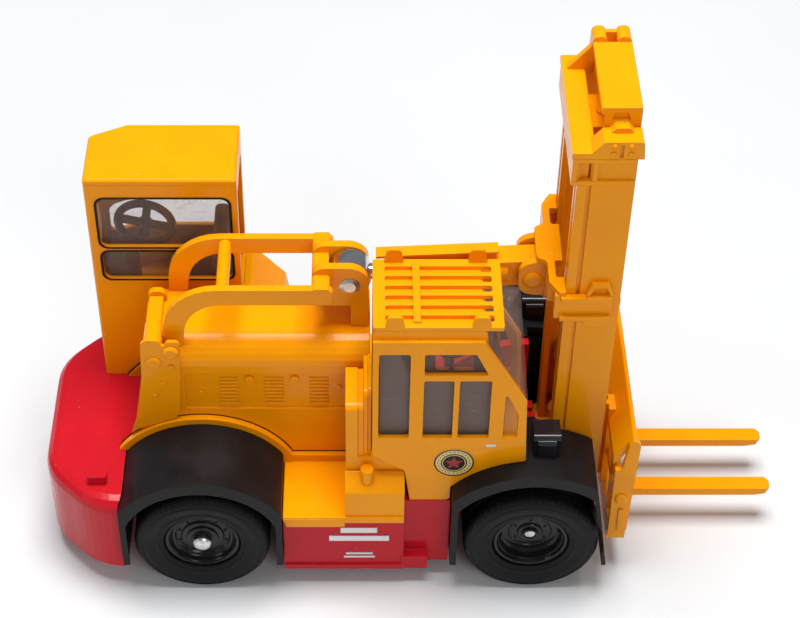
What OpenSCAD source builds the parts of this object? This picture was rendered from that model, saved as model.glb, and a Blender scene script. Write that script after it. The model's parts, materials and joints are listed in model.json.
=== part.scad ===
// Toy forklift: a die-cast container handler with two cabs and an upright mast.
// X runs towards the forks, Y to the machine's left, Z up from the surface it stands on.
// Right-hand parts lie at negative Y.

/* [Wheels] */
// Radius of all four tyres
wheel_r = 13; // [12.8:0.1:13.2]
// Width of a tyre
tyre_w = 11.5; // [11:0.1:12]
// Distance from the centre line to the outer face of a tyre
half_w = 26; // [25.8:0.1:26.4]
// Radius of the hub where the tyre sits on it
hub_r = 7.4; // [7:0.1:8]
// X of the front axle
front_axle_x = 22.2; // [22:0.1:22.4]
// X of the rear axle
rear_axle_x = -40.7; // [-40.9:0.1:-40.5]
// Radius of both axles
axle_r = 1.25; // [1.1:0.05:1.35]
// Radial clearance of an axle in its bearing block
axle_gap = 0.06; // [0.04:0.01:0.08]

/* [Chassis] */
// X of the back of the counterweight
rear_x = -71.2; // [-71.6:0.1:-70.8]
// Half the width of the counterweight
deck_half_w = 24.3; // [24:0.1:24.6]
// Height of the rear deck
deck_z = 23.5; // [23.3:0.1:23.6]
// Underside of the chassis skirts
skirt_z = 4.3; // [4:0.1:4.6]
// Thickness of the hollow middle's walls
skirt_wall = 2; // [1.6:0.1:2.4]
// Half the width of the backbone between the wheels
spine_half_w = 10.6; // [10.4:0.1:10.6]

/* [Fenders] */
// Outer radius of a rear fender about its axle
rear_fender_r = 18.1; // [17.9:0.1:18.2]
// Outer radius of a front fender about its axle
front_fender_r = 20.3; // [20.1:0.1:20.4]
// Half the length of every fender
fender_half = 15.4; // [15.2:0.1:15.5]
// Thickness of the fender sheet
fender_wall = 1.3; // [1.1:0.1:1.4]

/* [Hood] */
// Top of the engine hood
hood_z = 50.5; // [50:0.1:51]
// Half the width of the hood
hood_half_w = 9.3; // [9.1:0.1:9.3]
// X of the hood's front end
hood_front_x = -8.6; // [-8.8:0.1:-8.5]
// Radius of the hood's shoulders
shoulder_r = 5; // [3.5:0.1:6]
// Wall thickness of the hood
hood_wall = 1.6; // [1.4:0.1:1.8]

/* [Cabs] */
// Wall thickness of both cab shells
cab_wall = 0.9; // [0.8:0.05:1]
// Thickness of the clear glazing
glass_t = 0.45; // [0.4:0.05:0.55]
// Underside of the rear cab's roof
rear_roof_z = 73.3; // [72.5:0.1:74]
// Top edge of the front cab's side panel
front_roof_z = 64.6; // [64:0.1:65]

/* [Mast] */
// Height of the top of the mast's cover plate
mast_top_z = 106.3; // [105:0.1:107]
// Half the width across the mast's outer faces
mast_half_w = 12.5; // [12.4:0.1:12.6]
// Width of one upright across Y
upright_w = 4; // [3.8:0.1:4]
// Radius of the mast's pivot pin
pivot_r = 1.2; // [1.1:0.05:1.3]
// Radius of the tilt ram's barrel
barrel_r = 2.9; // [2.7:0.1:3]
// Radius of the tilt ram's rod
ram_rod_r = 1.5; // [1.3:0.05:1.6]

/* [Forks] */
// X of the fork tips
fork_tip_x = 71.2; // [70.8:0.1:71.6]
// Height of the forks' top face
fork_top_z = 9; // [8.8:0.1:9.2]
// Thickness of a fork
fork_t = 1.8; // [1.6:0.1:2]
// Width of a fork
fork_w = 3.2; // [3:0.1:3.6]
// Distance from the centre line to the middle of a fork
fork_y = 6.5; // [6.2:0.1:7]

/* [Hidden] */

$fn = 64;
yellow = "#f5a80c";
red = "#c0202c";
satin_black = "#1c1c1e";
steel = "#c8c8cc";
clear = [0.9, 0.94, 0.95, 0.35];
interior_grey = "#5a4f4c";

axle_z = wheel_r;
arch_r = rear_fender_r + 1.2;          // yellow strip beside each rear fender
arch_in_r = rear_fender_r - 1.2;
strip_y = [9, spine_half_w];
fender_y = [10.75, half_w];
seam = 0.2;                            // joint line between two castings
deck_plate_z = 20;
deck_plate_t = 1.5;
hood_floor_z = 22;
mast_x = [25.8, 35.5];                 // back and front of an upright
mast_in_y = mast_half_w - upright_w;
pivot_x = 25.2;
pivot_z = 8.4;
gantry_pin_x = -12.4;
gantry_pin_z = 60.9;
strap_pin_x = 20.8;
strap_pin_z = 62.7;
pin_r = 1.45;
pin_gap = 0.06;
ram_len = norm([strap_pin_x - gantry_pin_x, strap_pin_z - gantry_pin_z]);
ram_tilt = atan2(strap_pin_z - gantry_pin_z, strap_pin_x - gantry_pin_x);
roller_x = 30.8;
roller_r = 3.1;
cylinder_foot_z = 7.4;                  // underside of the lift cylinder

// ---- helpers ----

// A box given by its [low, high] pair on each axis.
module block(x, y, z) translate([x[0], y[0], z[0]]) cube([x[1] - x[0], y[1] - y[0], z[1] - z[0]]);

// An outline in X and Z, run from y[0] to y[1].
module across(y) translate([0, y[1], 0]) rotate([90, 0, 0]) linear_extrude(y[1] - y[0]) children();

// An outline in Y and Z, run from x[0] to x[1].
module along(x) translate([x[0], 0, 0]) rotate([90, 0, 90]) linear_extrude(x[1] - x[0]) children();

// An outline in X and Y, run from z[0] to z[1].
module upright(z) translate([0, 0, z[0]]) linear_extrude(z[1] - z[0]) children();

// A round bar along Y.
module bar_y(r, y, x, z) translate([x, y[1], z]) rotate([90, 0, 0]) cylinder(r = r, h = y[1] - y[0]);

// The children and their mirror image on the other side.
module both_sides() {
  children();
  mirror([0, 1, 0]) children();
}

// Points along the round of radius r at corner p, between neighbours a and b.
function corner(a, p, b, r, steps) =
  let (
    u = (a - p) / norm(a - p),
    v = (b - p) / norm(b - p),
    half = acos(u * v) / 2,
    c = p + (u + v) / norm(u + v) * r / sin(half),
    s = p + u * r / tan(half) - c,
    e = p + v * r / tan(half) - c,
    a0 = atan2(s[1], s[0]),
    turn = (atan2(e[1], e[0]) - a0 + 900) % 360 - 180
  )
  [for (i = [0 : steps]) c + r * [cos(a0 + turn * i / steps), sin(a0 + turn * i / steps)]];

// A closed outline whose points are [x, y] for a sharp corner or [x, y, radius] for a round one.
function rounded(points, steps = 6) =
  let (n = len(points))
  [for (i = [0 : n - 1])
    let (
      p = points[i],
      a = points[(i + n - 1) % n],
      b = points[(i + 1) % n]
    )
    each len(p) < 3 || p[2] == 0
      ? [[p[0], p[1]]]
      : corner([a[0], a[1]], [p[0], p[1]], [b[0], b[1]], p[2], steps)];

// A rectangle with round corners, given by its [low, high] pairs.
function round_rect(x, y, r) =
  rounded([[x[0], y[0], r], [x[1], y[0], r], [x[1], y[1], r], [x[0], y[1], r]]);

// Solid under a wheel arch: a drum about an axle, cut off at both ends and at the bottom.
module arch(x, r, half, y, z0) intersection() {
  bar_y(r, y, x, axle_z);
  block([x - half, x + half], y, [z0, axle_z + r + 1]);
}

// ---- red lower casting ----

// Plan of the counterweight, drawn in by the given inset.
function counterweight_plan(inset) = rounded([
  [-54, -(deck_half_w - inset)],
  [-54, deck_half_w - inset],
  [-61, deck_half_w - inset, 12 - inset * 0.8],
  [rear_x + inset, 14.4 - inset * 0.4, 12 - inset * 0.8],
  [rear_x + inset, -(14.4 - inset * 0.4), 12 - inset * 0.8],
  [-61, -(deck_half_w - inset), 12 - inset * 0.8]]);

module counterweight() hull() {
  edge_r = 2.6;
  upright([skirt_z + 0.8, deck_z - edge_r]) polygon(counterweight_plan(0));
  upright([skirt_z, skirt_z + 0.8]) polygon(counterweight_plan(0.6));
  for (a = [30, 60])
    upright([deck_z - edge_r, deck_z - edge_r * (1 - sin(a))])
      polygon(counterweight_plan(edge_r * (1 - cos(a))));
  upright([deck_z - edge_r, deck_z]) polygon(counterweight_plan(edge_r));
}

// Two plates that hang from the nose: they carry the front axle and the mast's pivot.
module cradle_lugs() both_sides() difference() {
  across([5.6, 7.6]) polygon(rounded([
    [19.4, 18], [24.2, 18], [24.2, 13.6], [28, 10.9, 2.3], [28, 5.8, 2.3], [19.4, 5.8, 1]]));
  bar_y(pivot_r + pin_gap, [5, 8], pivot_x, pivot_z);
  bar_y(axle_r + axle_gap, [5, 8], front_axle_x, axle_z);
}

module lower_body() color(red) {
  middle_x = [rear_axle_x + fender_half, front_axle_x - fender_half];
  recess_x = -2.1;
  nose_x = 22.8;
  well_gap = 0.15;
  under_plate_z = deck_plate_z - deck_plate_t;
  ledge_z = 22.27;
  difference() {
    union() {
      counterweight();
      block([-55, -26], [-spine_half_w, spine_half_w], [skirt_z, deck_z]);
      block([-26.2, recess_x], [-24, 24], [skirt_z, under_plate_z]);
      block([recess_x - 1, middle_x[1]], [-22.2, 22.2], [skirt_z, under_plate_z]);
      block([recess_x, middle_x[1]], [-22.2, 22.2], [under_plate_z - 1, ledge_z]);
      block([middle_x[1] - 1, nose_x], [-spine_half_w, spine_half_w], [skirt_z, deck_plate_z - 0.4]);
      for (side = [-1, 1]) {
        // lip along the foot of the skirt, and the boarding step
        block([middle_x[0], recess_x], [side * 24 - 0.4, side * 24 + 0.4], [skirt_z, skirt_z + 1.2]);
        block([recess_x - 0.5, 2.6], [side * 23 - 1.2, side * 23 + 1.2], [skirt_z, skirt_z + 3.4]);
      }
      both_sides() intersection() {
        block([8, nose_x], [8.9, spine_half_w], [15, 33]);
        bar_y(front_fender_r - 0.5, [8, 11], front_axle_x, axle_z);
      }
    }
    both_sides() {
      arch(rear_axle_x, rear_fender_r + well_gap, fender_half + well_gap, [spine_half_w, 30], skirt_z - 1);
      arch(front_axle_x, front_fender_r + well_gap, fender_half + well_gap, [spine_half_w, 30], skirt_z - 1);
    }
    // hollow of the casting, open below
    block([middle_x[0] + skirt_wall, recess_x - skirt_wall], [-22, 22], [skirt_z - 1, deck_plate_z - 3.5]);
    block([-54, nose_x - skirt_wall], [-8.8, 8.8], [skirt_z - 1, deck_plate_z - 3]);
    block([recess_x - skirt_wall - 1, middle_x[1] - skirt_wall], [-20, 20], [skirt_z - 1, deck_plate_z - 3]);
    // slots that let the axles in from below
    for (x = [front_axle_x, rear_axle_x])
      block([x - 2, min(x + 2, nose_x + 1)], [-30, 30], [skirt_z - 1, axle_z + 2]);
  }
  cradle_lugs();
}

// ---- underside ----

module base_plate() color(satin_black) {
  plate_z = [skirt_z + 0.1, skirt_z + 1.3];
  block_half_x = 3;
  difference() {
    union() {
      block([-53.8, 19.2], [-8.5, 8.5], plate_z);
      block([-22.8, -4.5], [-21.6, 21.6], plate_z);
      both_sides()
        block([rear_axle_x - block_half_x, rear_axle_x + block_half_x], [6.2, 8.5], [plate_z[0], axle_z + 2.8]);
    }
    bar_y(axle_r + axle_gap, [-9, 9], rear_axle_x, axle_z);
  }
}

module base_rivets() color(steel)
  for (x = [-49, -14, 14]) translate([x, 0, skirt_z - 0.5]) rotate_extrude() polygon([
    [0, 0], [1.1, 0], [1.6, 0.35], [1.6, 0.6], [0, 0.6]]);

// ---- yellow castings ----

module side_casting() {
  deck_x = [rear_axle_x + fender_half + 0.2, -2.15];
  difference() {
    union() {
      arch(rear_axle_x, arch_r, 17, strip_y, deck_plate_z - 1);
      block(deck_x, [9, 24.6], [deck_plate_z - deck_plate_t + 0.05, deck_plate_z]);
      block(deck_x, strip_y - [0, 0.2], [deck_plate_z - 0.1, hood_floor_z - seam]);
      // lip that laps over the red skirt
      block([deck_x[0], hood_front_x - 4.8], [24.05, 24.8], [deck_plate_z - 2.4, deck_plate_z - 0.2]);
    }
    bar_y(arch_in_r, [8, 27], rear_axle_x, axle_z);
    block([-60, -25.95], [8, 12], [0, deck_z + 0.05]);
    arch(rear_axle_x, rear_fender_r + 0.1, fender_half + 0.1, [spine_half_w, 30], 0);
  }
}

module side_casting_left() color(yellow) side_casting();

module side_casting_right() color(yellow) mirror([0, 1, 0]) side_casting();

hood_rear = [[-55.4, deck_z + 0.1], [-52, 34], [-50.9, 44], [-50.4, hood_z]];

// Side outline of the hood, drawn in by the wall thickness t.
function hood_side(t) = [
  [hood_rear[0][0] + t, hood_floor_z - 1], [hood_rear[1][0] + t, 34], [hood_rear[2][0] + t, 44],
  [hood_rear[3][0] + t, hood_z - t], [hood_front_x - t, hood_z - t], [hood_front_x - t, hood_floor_z - 1]];

// Cross-section of the hood, drawn in by t.
function hood_section(t) = rounded([
  [-(hood_half_w - t), hood_floor_z - 1], [hood_half_w - t, hood_floor_z - 1],
  [hood_half_w - t, hood_z - t, shoulder_r - t * 0.9], [-(hood_half_w - t), hood_z - t, shoulder_r - t * 0.9]]);

module hood() color(yellow) {
  panel_x = [-43.4, -12.6];
  panel_z = [34, 43.5];
  panel_depth = 0.45;
  difference() {
    intersection() {
      across([-20, 20]) polygon(hood_side(0));
      along([-60, 0]) polygon(hood_section(0));
    }
    intersection() {
      across([-20, 20]) polygon(hood_side(hood_wall));
      along([-60, 0]) polygon(hood_section(hood_wall));
    }
    both_sides() across([hood_half_w - panel_depth, hood_half_w + 1])
      polygon(round_rect(panel_x, panel_z, 0.8));
    // parting line: level with the deck at the back, over the wheel arch, then level again
    block([-60, -40], [-20, 20], [0, deck_z + seam]);
    bar_y(arch_r + seam, [-20, 20], rear_axle_x, axle_z);
    block([-40, 0], [-20, 20], [0, hood_floor_z]);
  }
}

module louvre_ribs() color(yellow) both_sides() {
  slot_count = 8;
  slot_pitch = 0.95;
  group_w = 3.6;
  for (x = [-36.9, -28.4, -20], i = [0 : slot_count - 1])
    translate([x, hood_half_w - 0.45, 35 + i * slot_pitch]) rotate([90, 0, 90]) linear_extrude(group_w)
      polygon([[0, 0], [0.32, 0.1], [0.32, 0.3], [0, 0.6]]);
  for (x = [-31.2, -22.8]) bar_y(0.85, [hood_half_w - 0.45, hood_half_w + 0.15], x, 41.8);
  for (p = [[-40.4, 38.3], [-14.4, 39.6]]) bar_y(0.45, [hood_half_w - 0.45, hood_half_w], p[0], p[1]);
}

module rear_ear_plates() color(yellow) {
  mirror([0, 1, 0]) across([hood_half_w + 0.02, hood_half_w + 0.75]) polygon(rounded([
    [-54.2, 27.8], [-52.3, 34], [-51.2, 43], [-50.8, 53.1, 1.7], [-47.6, 52.9, 0.9], [-46.7, 51.2, 0.3],
    [-45.9, 52.6, 0.6], [-43.6, 52.6, 0.9], [-43.8, 44.6], [-44.5, 34.6], [-45.2, 32.3], [-49.6, 30.4],
    [-52.9, 29]]));
  // lobes that stand on the hood, on a bar between them
  for (y = [[-(hood_half_w + 0.3), -4.4], [3, 4.3]])
    across(y) polygon(rounded([
      [-50.3, hood_z + 0.02], [-50.6, 52.9, 1.5], [-47, 52.9, 1.5], [-46.8, hood_z + 0.02]]));
  block([-50, -47.4], [-4.5, 3.1], [hood_z + 0.02, 51.8]);
}

module ear_bolts() color(yellow) mirror([0, 1, 0]) {
  face_y = hood_half_w + 0.76;
  for (p = [[-48.7, 47.2, 1.5, 0.5], [-45.3, 50, 1.5, 0.7], [-45.5, 46.1, 0.7, 0.35], [-47.2, 41.8, 0.55, 0.3],
      [-48.9, 38.5, 0.5, 0.3]])
    translate([p[0], face_y, p[1]]) rotate([-90, 0, 0]) rotate_extrude() polygon([
      [0, 0], [p[2], 0], [p[2], p[3] * 0.5], [p[2] * 0.7, p[3]], [0, p[3]]]);
}

// ---- overhead gantry that carries the tilt ram ----

module gantry() color(yellow) {
  beam_y = [6.2, 7.7];
  beam_top = 63.4;
  beam_bottom = 59.8;
  ear_y = [2.2, 3.8];
  difference() {
    union() {
      both_sides() across(beam_y) polygon(rounded([
        [-46.8, hood_z - 3], [-46.2, beam_top, 10], [-15.4, beam_top, 1.2], [-15.4, beam_bottom, 0.8],
        [-42, beam_bottom, 7], [-43.4, hood_z - 3]], 8));
      bar_y(1.2, [-6.3, 6.3], -35.5, beam_top - 1.4);
      across([-beam_y[1], beam_y[1]]) polygon(rounded([[-19.3, beam_bottom + 0.4], [-19.3, beam_top + 0.3, 0.8],
        [-15.9, beam_top + 0.3, 0.8], [-15.9, beam_bottom + 0.4]]));
      both_sides() across(ear_y) polygon(rounded([
        [-19.3, 55.9, 1], [-19.3, 65.2, 2.4], [-8.9, 65.2, 3.8], [-8.9, 55.9]], 8));
      both_sides() block([-12.2, -8.9], ear_y, [hood_z + 0.02, 56]);
      block([-12.2, -8.9], [-3.8, 3.8], [hood_z + 0.02, hood_z + 1.2]);
    }
    bar_y(pin_r + 0.005, [-9, 9], gantry_pin_x, gantry_pin_z);
    // the legs end on the hood's rounded shoulders
    along([-60, 0]) polygon(hood_section(-0.02));
    // room for the ram's eye
    bar_y(4.6, [-ear_y[0], ear_y[0]], gantry_pin_x, gantry_pin_z);
  }
}

// Pin with a domed head, along Y, its head on the right.
module headed_pin(x, z, r, half, head_r, head_t) {
  bar_y(r, [-half, half], x, z);
  translate([x, -half, z]) rotate([90, 0, 0]) rotate_extrude()
    polygon([[0, 0], [head_r, 0], [head_r, head_t * 0.4], [head_r * 0.6, head_t], [0, head_t]]);
}

module gantry_pin() color(steel) headed_pin(gantry_pin_x, gantry_pin_z, pin_r, 3.8, 1.9, 0.5);

// ---- fenders and lamps ----

module rear_fender() {
  lip_y = [half_w - 0.9, half_w];
  difference() {
    arch(rear_axle_x, rear_fender_r, fender_half, fender_y, 7.5);
    arch(rear_axle_x, rear_fender_r - fender_wall, fender_half - 0.9, [fender_y[0] - 1, lip_y[0]], 0);
    arch(rear_axle_x, 15.4, 14.2, [fender_y[0] - 1, half_w + 1], 0);
  }
}

module rear_fender_left() color(satin_black) rear_fender();

module rear_fender_right() color(satin_black) mirror([0, 1, 0]) rear_fender();

// Where a front fender's outline is cut back towards the mast.
module fender_nose(inset) across([0, 30]) polygon([
  [33.3 - inset, 31.4], [34.4 - inset, 25], [36.9 - inset, 8], [36.9 - inset, 0], [45, 0], [45, 45],
  [33.3 - inset, 45]]);

module front_fender() {
  lip_y = [half_w - 0.9, half_w];
  difference() {
    arch(front_axle_x, front_fender_r, fender_half, fender_y, 7.5);
    difference() {
      arch(front_axle_x, front_fender_r - fender_wall, fender_half - 0.9, [fender_y[0] - 1, lip_y[0]], 0);
      fender_nose(fender_wall);
    }
    difference() {
      arch(front_axle_x, 17.6, 14.2, [fender_y[0] - 1, half_w + 1], 0);
      fender_nose(0.8);
    }
    bar_y(wheel_r + 0.9, [fender_y[0] - 1, half_w + 1], front_axle_x, axle_z);
    fender_nose(0);
    block([22.6, 40], [0, 13.3], [0, 45]);
  }
}

module front_fender_left() color(satin_black) front_fender();

module front_fender_right() color(satin_black) mirror([0, 1, 0]) front_fender();

module headlamp() {
  lamp_x = [21.6, 26.6];
  difference() {
    union() {
      along(lamp_x) polygon(rounded([[15.6, 30], [20.6, 30], [20.6, 38.4, 0.9], [15.6, 38.4, 0.9]]));
      along([lamp_x[0] + 0.8, lamp_x[1] - 0.8]) polygon(rounded([
        [15.1, 30], [21.1, 30], [21.1, 37.4, 0.8], [15.1, 37.4, 0.8]]));
    }
    bar_y(front_fender_r + 0.01, [14, 22], front_axle_x, axle_z);
    block([lamp_x[1] - 0.5, 28], [16.3, 19.9], [34.2, 37.6]);
  }
}

module headlamp_left() color(satin_black) headlamp();

module headlamp_right() color(satin_black) mirror([0, 1, 0]) headlamp();

module headlamp_lenses() color(clear) both_sides() block([26.1, 26.7], [16.35, 19.85], [34.25, 37.55]);

module rear_lamp() color(red)
  upright([deck_z + 0.01, deck_z + 2]) polygon(round_rect([-62.2, -58.6], [-19.3, -17.2], 0.4));

// ---- right-hand side equipment ----

// Places children, drawn about Z from the filler's seat, on the tank's sloping top.
module at_filler() translate([-9.2, -22.2, 28]) children();

module fuel_tank() color(yellow) difference() {
  along([-13.3, -2.15]) polygon(rounded([
    [-24.2, 20.02], [-24.2, 26.6, 0.6], [-23.4, 27.6, 0.6], [-20.7, 29.8, 0.3], [-20.7, 20.02]], 3));
  at_filler() cylinder(r = 1.07, h = 3);
}

module fuel_cap() color(yellow) at_filler() {
  cylinder(r = 1.05, h = 2.9);
  translate([0, 0, 2.8]) cylinder(r = 1.25, h = 0.7);
}

module air_cleaner() color(yellow) {
  foot_z = 32.9;
  for (rib = [[-13.2, -10.9, 46.6], [-10.9, -9.9, 46.2], [-9.9, -9.1, 49.8], [-9.1, -8.45, 50.2]])
    along([rib[0] + 0.03, rib[1]]) polygon(rounded([
      [-20.6 + (rib[0] + 13) * 0.14, foot_z], [-20.6 + (rib[0] + 13) * 0.14, rib[2], 1.4],
      [-10.2, rib[2], 0.6], [-10.2, foot_z]]));
  // foot that carries the ribs down to the tank, with its diagonal seam against the cab
  across([-20.6, -10.5]) polygon([
    [-13.2, deck_plate_z + 0.02], [-13.2, foot_z + 0.1], [-8.5, foot_z + 0.1], [-8.5, 34.6], [-2.5, 30.2],
    [-2.15, 22.6], [-2.15, deck_plate_z + 0.02]]);
}

// ---- front cab ----

cab_y = [-22, -4];
cab_x = -8.3;
cab_front_x = 20.2;
cab_nose = [
  [5.8, 22.3], [cab_x + 7.2, 22.3], [-2.2, 30.6], [cab_x, 35.1], [cab_x, front_roof_z], [11.3, front_roof_z],
  [19.5, 49.2], [cab_front_x, 33.6]];

module front_cab_shell() color(yellow) {
  sill_z = 39.8;
  lintel_z = 61.6;
  rail_z = [54.9, 56.3];
  difference() {
    union() {
      across(cab_y) polygon(cab_nose);
      // roof band, set back a little from the side panels
      across([-21.2, -4]) polygon(rounded([
        [cab_x, front_roof_z - 0.5], [cab_x, 66.7, 0.8], [11.6, 66.7, 0.8], [11.6, front_roof_z - 0.5]]));
    }
    arch(front_axle_x, front_fender_r + 0.1, fender_half + 0.3, [-30, 0], 0);
    // room inside
    across([cab_y[0] + cab_wall, cab_y[1] - cab_wall]) polygon([
      [cab_x + cab_wall, 36.4], [-0.9, 31.6], [0.2, 24.2], [4.6, 24.2], [11.6, 33.6], [19.6, 35.6], [24, 35.6],
      [24, 49.2], [17, 60], [10.6, front_roof_z - 0.6], [cab_x + cab_wall, front_roof_z - 0.6]]);
    // windows of both side panels
    across([-30, 0]) {
      polygon(round_rect([-7.2, -1.6], [sill_z, lintel_z], 0.5));
      polygon(round_rect([0.9, 6.3], [sill_z, rail_z[0]], 0.4));
      polygon(round_rect([7.3, 13], [sill_z, rail_z[0]], 0.4));
      polygon(rounded([
        [0.9, rail_z[1], 0.4], [12.4, rail_z[1], 0.4], [10, lintel_z, 0.4], [0.9, lintel_z, 0.4]]));
      polygon(rounded([[15.6, sill_z, 0.3], [18.2, sill_z, 0.3], [18.2, 46.1, 0.3], [15.6, 52.1, 0.3]]));
    }
    // rear window and front opening
    along([cab_x - 1, cab_x + 2]) polygon(round_rect([-19.6, -6.4], [42, 62], 1));
    along([8, 30]) polygon([[cab_y[0] + cab_wall, 35.6], [cab_y[1] - cab_wall, 35.6],
      [cab_y[1] - cab_wall, 63.2], [cab_y[0] + cab_wall, 63.2]]);
  }
}

// Clear liner behind the side panels: one sheet on each side.
module front_cab_glazing() color(clear)
  for (y = [cab_y[0] + cab_wall + 0.05, cab_y[1] - cab_wall - glass_t - 0.05])
    across([y, y + glass_t]) polygon([
      [cab_x + cab_wall + 0.3, 38.6], [19.2, 38.6], [18.7, 49.4], [11.4, 62.9],
      [cab_x + cab_wall + 0.3, 62.9]]);

// Solid of the windscreen's outer face, moved in by t. Its right edge slopes with the side panel.
module windscreen_form(t) hull() {
  across([-21.05, -20.9]) polygon([
    [10.6, 35.7], [10.6, 63 - t], [12.1 - t * 0.4, 63 - t], [19.7 - t, 48.8 - t * 0.4], [20.1 - t, 35.7]]);
  across([-5.05, -4.92]) polygon([[10.6, 35.7], [10.6, 63 - t], [18.6 - t, 61.6 - t], [20.7 - t, 35.7]]);
}

module windscreen() color(clear) difference() {
  windscreen_form(0);
  windscreen_form(0.55);
  block([0, 11.8], [-30, 0], [30, 70]);
}

module roof_guard() color(yellow) {
  guard_x = [-8.3, 14.6];
  guard_y = [-21.2, -3.7];
  guard_z = [66.72, 67.5];
  slot_count = 6;
  slot_pitch = 2.5;
  difference() {
    upright(guard_z) polygon(round_rect(guard_x, guard_y, 0.5));
    for (i = [0 : slot_count - 1])
      translate([0, guard_y[0] + 1.6 + i * slot_pitch, 0])
        upright([60, 70]) polygon(round_rect([guard_x[0] + 2.2, guard_x[1] - 1.7], [0, 1.5], 0.4));
  }
  upright([guard_z[1] - 0.45, guard_z[1] + 0.35]) polygon([[-1.2, -20], [0.1, -20], [0.1, -5], [-1.2, -5]]);
  // lifting lugs
  for (x = [-6.2, 8.9], side = [0, 1])
    across([guard_y[side] - side * 0.9, guard_y[side] - side * 0.9 + 0.9]) polygon(rounded([
      [x, guard_z[1] - 0.2], [x + 0.5, guard_z[1] + 2.4 + side * 0.6, 0.8],
      [x + 3, guard_z[1] + 2.4 + side * 0.6, 0.8], [x + 3.5, guard_z[1] - 0.2]]));
}

module front_cab_seat() color(interior_grey) {
  // tray on the cab's floor, with a side panel, a cushion, a backrest and a dash
  across([-19.9, -6.2]) polygon([[-6.9, 36.08], [-0.87, 31.63], [0.23, 24.23], [4.58, 24.23], [11.58, 33.63],
    [16, 34.73], [16, 38], [-6.9, 38]]);
  across([-19.9, -19.1]) polygon(rounded([
    [-6.9, 37.6], [-6.9, 62, 1], [-4.6, 62, 1.5], [-1.8, 55, 1], [14.4, 54.4, 1.5], [16, 37.6]]));
  across([-19.1, -6.2]) polygon(rounded([[-6.9, 37.6], [-6.9, 60.5, 1.2], [-4.3, 60.5, 1.2], [-3.2, 46.4, 0.8],
    [3.6, 46.4, 1.2], [3.6, 37.6]]));
  across([-19.1, -6.2]) polygon(rounded([[11, 37.6], [10, 52.5, 1], [13.8, 54, 1], [16, 46], [16, 37.6]]));
}

// Steering wheel of rim radius r, built flat about Z with its column below.
module steering_wheel(r, column) {
  rim_r = r * 0.15;
  rotate_extrude($fn = 48) translate([r, 0]) circle(r = rim_r, $fn = 16);
  for (a = [0 : 90 : 270])
    rotate([0, 0, a]) translate([0, -rim_r, -rim_r * 0.5]) cube([r, rim_r * 2, rim_r]);
  cylinder(r = r * 0.24, h = rim_r * 0.9);
  translate([0, 0, -column]) cylinder(r = r * 0.14, h = column);
}

module front_steering_wheel() color(satin_black)
  translate([7.4, -13, 57.6]) rotate([0, -28, 0]) steering_wheel(4.6, 3.6);

module door_badge() color("#e8d9a0") bar_y(3.7, [cab_y[0] - 0.18, cab_y[0] - 0.01], 6.9, 33.1);

module door_handle() color("white")
  across([cab_y[0] - 0.3, cab_y[0] - 0.01]) polygon(round_rect([12.6, 14.5], [37.7, 38.1], 0.15));

// Plain printed bars on the skirt: two thick ones above two thin ones.
module side_markings() color("#e4dcdc")
  for (bar = [[-14.2, -7.2, 15, 1.5], [-16.4, -4.9, 12.6, 1.5], [-13.2, -8, 8.5, 0.5], [-13.6, -7.6, 7.5, 0.5]])
    across([-24.14, -24.01]) polygon([
      [bar[0], bar[2]], [bar[1], bar[2]], [bar[1], bar[2] + bar[3]], [bar[0], bar[2] + bar[3]]]);

// ---- rear cab ----

rear_cab_x = [-61.3, -33.1];
rear_cab_y = [9.7, 26];

function rear_cab_plan(t) = rounded([
  [rear_cab_x[0] + t, rear_cab_y[0] + t, 0.6], [rear_cab_x[1] - t, rear_cab_y[0] + t, 0.6],
  [rear_cab_x[1] - t, rear_cab_y[1] - t, 0.6], [-54.4 + t * 0.4, rear_cab_y[1] - t, 1],
  [rear_cab_x[0] + t, 22.6 - t * 0.5, 1]], 3);

module rear_cab_shell() color(yellow) {
  floor_z = 40;
  low_window = [49.9, 57];
  high_window = [58.1, 70.1];
  difference() {
    upright([deck_z + 0.05, rear_roof_z]) polygon(rear_cab_plan(0));
    upright([floor_z, rear_roof_z - cab_wall]) polygon(rear_cab_plan(cab_wall));
    upright([deck_z - 1, floor_z - 1.2]) polygon(rear_cab_plan(cab_wall));
    across([0, 40]) {
      polygon(round_rect([-59.4, -34.7], high_window, 1.6));
      polygon(round_rect([-59.1, -34.4], low_window, 1.6));
    }
    // tall window at the front, and one at the back
    along([-36, -30]) polygon(round_rect([11.4, 23.4], [low_window[0] - 6, high_window[1]], 1.2));
    along([-64, -56]) polygon(round_rect([11.4, 20], [low_window[0] + 2, high_window[1]], 1.2));
    // arch over the rear wheel
    arch(rear_axle_x, arch_r + seam, 24, [0, 40], 0);
    block([-57.1, -30], [0, 40], [deck_z - 1, axle_z + arch_r - 8.6]);
  }
}

module rear_cab_roof() color(yellow) hull() {
  upright([rear_roof_z + 0.02, rear_roof_z + 0.9]) polygon(rear_cab_plan(0));
  upright([rear_roof_z + 0.02, rear_roof_z + 1.3]) polygon(rear_cab_plan(0.4));
}

module rear_cab_glazing() color(clear) {
  liner = cab_wall + 0.05;
  difference() {
    upright([43.2, rear_roof_z - cab_wall - 0.1]) polygon(rear_cab_plan(liner));
    upright([42, rear_roof_z]) polygon(rear_cab_plan(liner + glass_t));
  }
}

module window_seals() color(satin_black) across([rear_cab_y[0] - 0.14, rear_cab_y[0] - 0.01]) {
  for (z = [[49.9, 57], [58.1, 70.1]]) difference() {
    polygon(round_rect([-59.6, -34.2], z + [-0.35, 0.35], 1.9));
    polygon(round_rect([-59.1, -34.7], z, 1.6));
  }
}

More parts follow.
